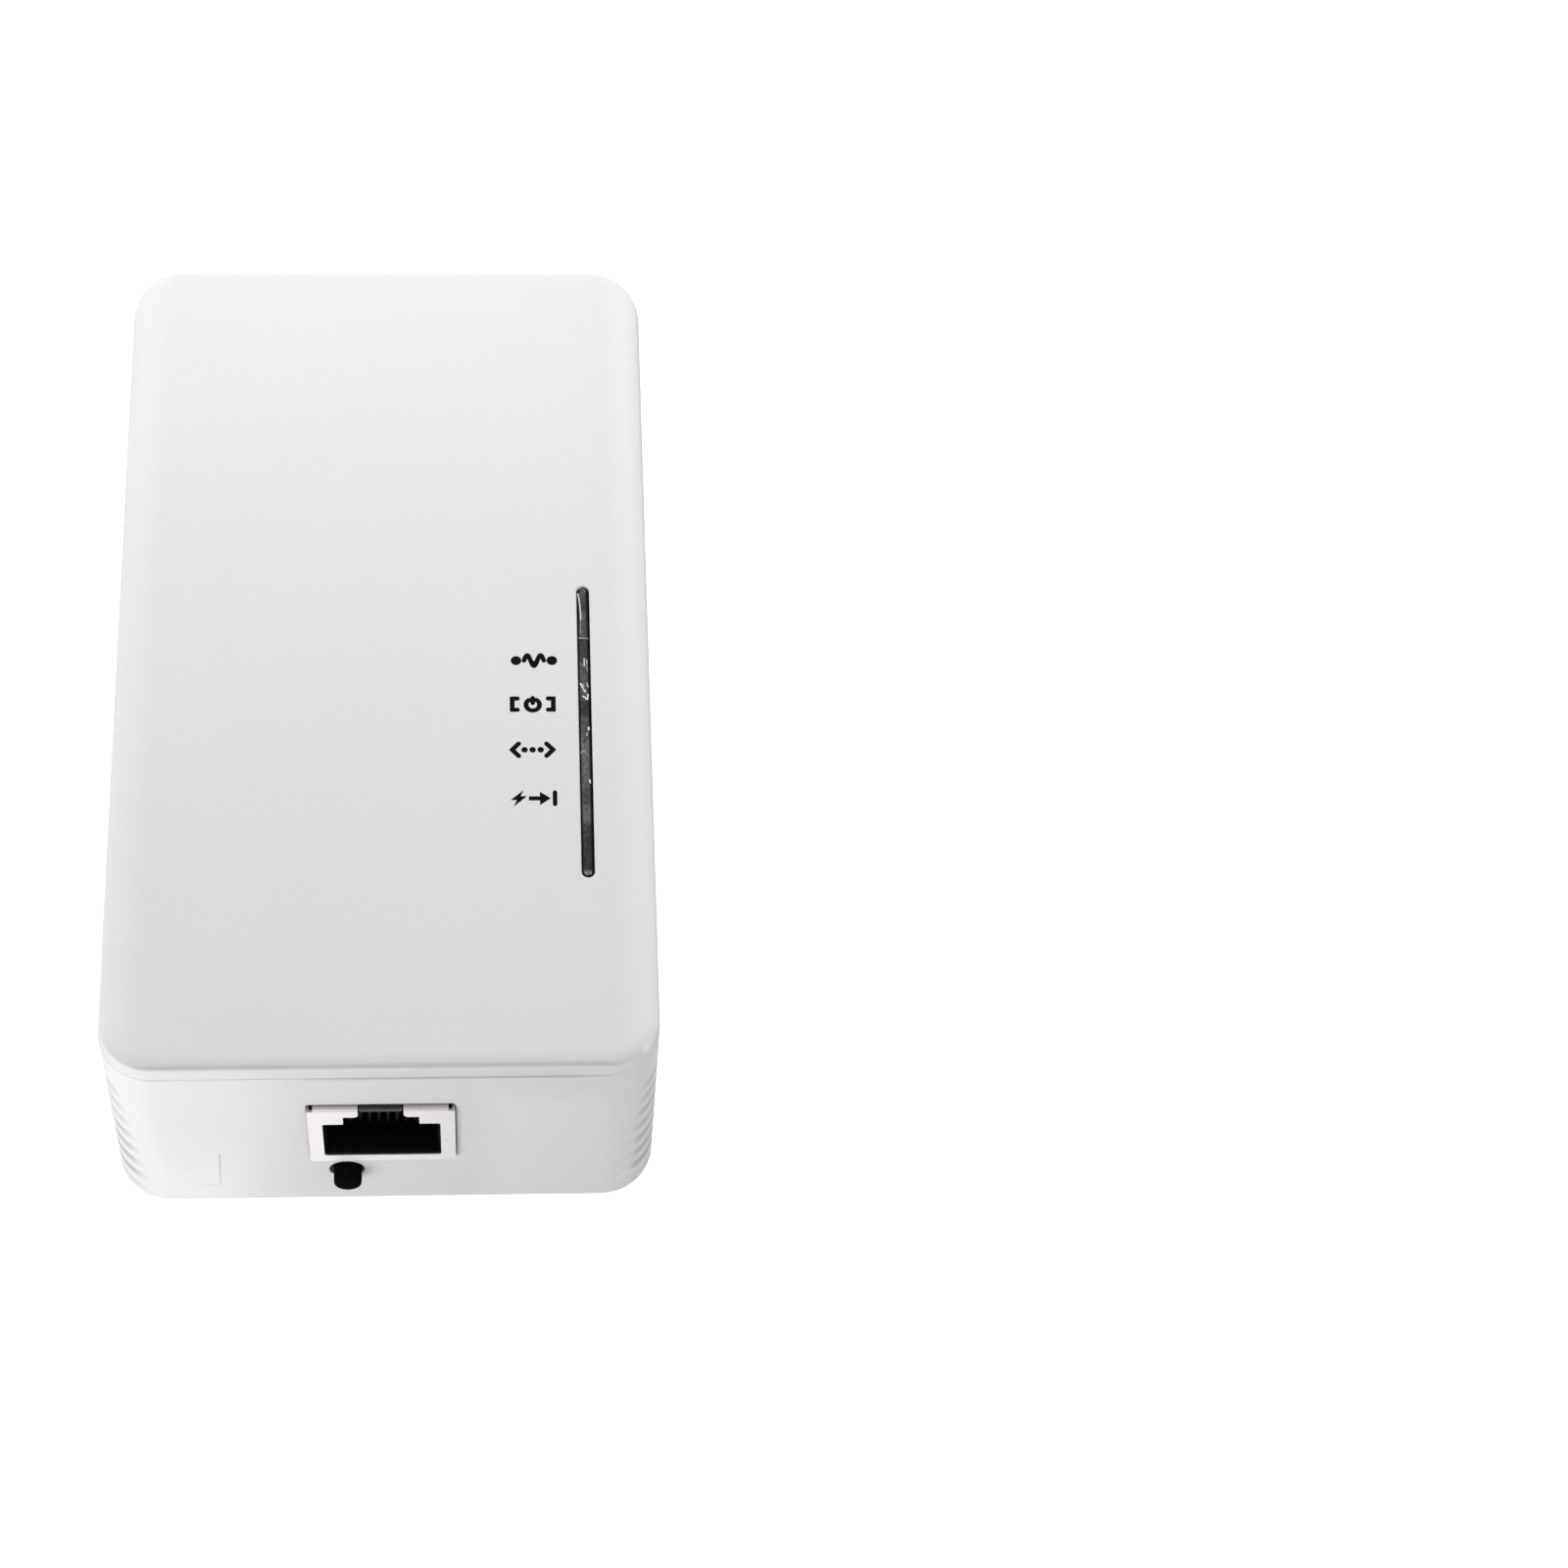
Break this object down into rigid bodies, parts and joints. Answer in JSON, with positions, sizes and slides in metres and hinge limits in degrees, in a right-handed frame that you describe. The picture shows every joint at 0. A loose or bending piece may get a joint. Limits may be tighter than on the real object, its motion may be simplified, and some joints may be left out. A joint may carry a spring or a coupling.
{
  "type": "power-line ethernet adapter",
  "caption": "Flat plug-in power-line Ethernet adapter with a shielded network jack, a small push-button, a smoked light strip and mains blades on its rear face.",
  "frame": {"origin": "centre of the flat rear face, the face that lies against the wall", "axes": "+Z out of the labelled face, -Y towards the end with the Ethernet jack, +X to the right when the labelled face is read with the jack end down"},
  "size_m": [0.06, 0.1091, 0.0526],
  "materials": {
    "case_white": "fine satin moulded plastic",
    "smoked_lens": "smoked translucent, polished",
    "label_paper": "blank matt sticker",
    "nickel": "nickel plated",
    "plug_grey": "satin moulded insulator",
    "blade_brass": "nickel-washed brass, lightly brushed",
    "jack_steel": "bright tin-plated sheet",
    "tin_steel": "tin plated",
    "black_plastic": "matt moulded",
    "button_black": "satin",
    "contact_gold": "gold plated",
    "board_green": "solder mask",
    "fish_paper": "insulating paper",
    "led_body": "phosphor lens",
    "chip_black": "moulded epoxy",
    "heatsink": "extruded",
    "ferrite": "sintered, matt",
    "film_yellow": "moulded box",
    "varistor_blue": "epoxy dipped",
    "copper_wire": "enamelled copper",
    "can_sleeve": "shrink sleeve",
    "tape_yellow": "polyester tape over winding"
  },
  "bodies": {
    "case": {"front_cover": "case_white", "rear_housing": "case_white", "light_guide": "smoked_lens", "rear_label": "label_paper", "case_screw_1": "nickel", "case_screw_2": "nickel", "case_screw_3": "nickel", "case_screw_4": "nickel", "plug_base": "plug_grey", "line_blade": "blade_brass", "neutral_blade": "blade_brass", "ground_pin": "blade_brass", "jack_shield": "jack_steel", "jack_insulator": "black_plastic", "switch_body": "black_plastic", "switch_bracket": "tin_steel", "switch_dome": "tin_steel", "logic_board": "board_green", "power_board": "board_green", "board_header": "black_plastic", "insulation_sheet": "fish_paper", "led_link": "led_body", "led_power": "led_body", "led_ethernet": "led_body", "led_poe": "led_body", "plc_chip": "chip_black", "plc_heatsink": "heatsink", "memory_chip": "chip_black", "crystal": "nickel", "ethernet_magnetics": "chip_black", "poe_controller": "chip_black", "coupling_transformer": "ferrite", "coupling_capacitor": "film_yellow", "x_capacitor": "film_yellow", "input_fuse": "chip_black", "surge_varistor": "varistor_blue", "choke_core": "ferrite", "choke_winding_1": "copper_wire", "choke_winding_2": "copper_wire", "bridge_rectifier": "chip_black", "bulk_capacitor": "can_sleeve", "output_capacitor_1": "can_sleeve", "output_capacitor_2": "can_sleeve", "transformer_bobbin": "tape_yellow", "transformer_core": "ferrite", "transistor_heatsink": "heatsink", "power_transistor": "chip_black", "output_diode": "chip_black"},
    "button": {"push_button": "button_black"},
    "contacts": {"jack_contact_1": "contact_gold", "jack_contact_2": "contact_gold", "jack_contact_3": "contact_gold", "jack_contact_4": "contact_gold", "jack_contact_5": "contact_gold", "jack_contact_6": "contact_gold", "jack_contact_7": "contact_gold", "jack_contact_8": "contact_gold"}
  },
  "joints": [
    {"name": "button_press", "type": "slide", "parent": "case", "child": "button", "axis": [0, 1, 0], "range_m": [0, 0.00025]},
    {"name": "contact_flex", "type": "hinge", "parent": "case", "child": "contacts", "pos_m": [-0.0001, -0.051, 0.01215], "axis": [1, 0, 0], "range_deg": [-7, 0]}
  ]
}
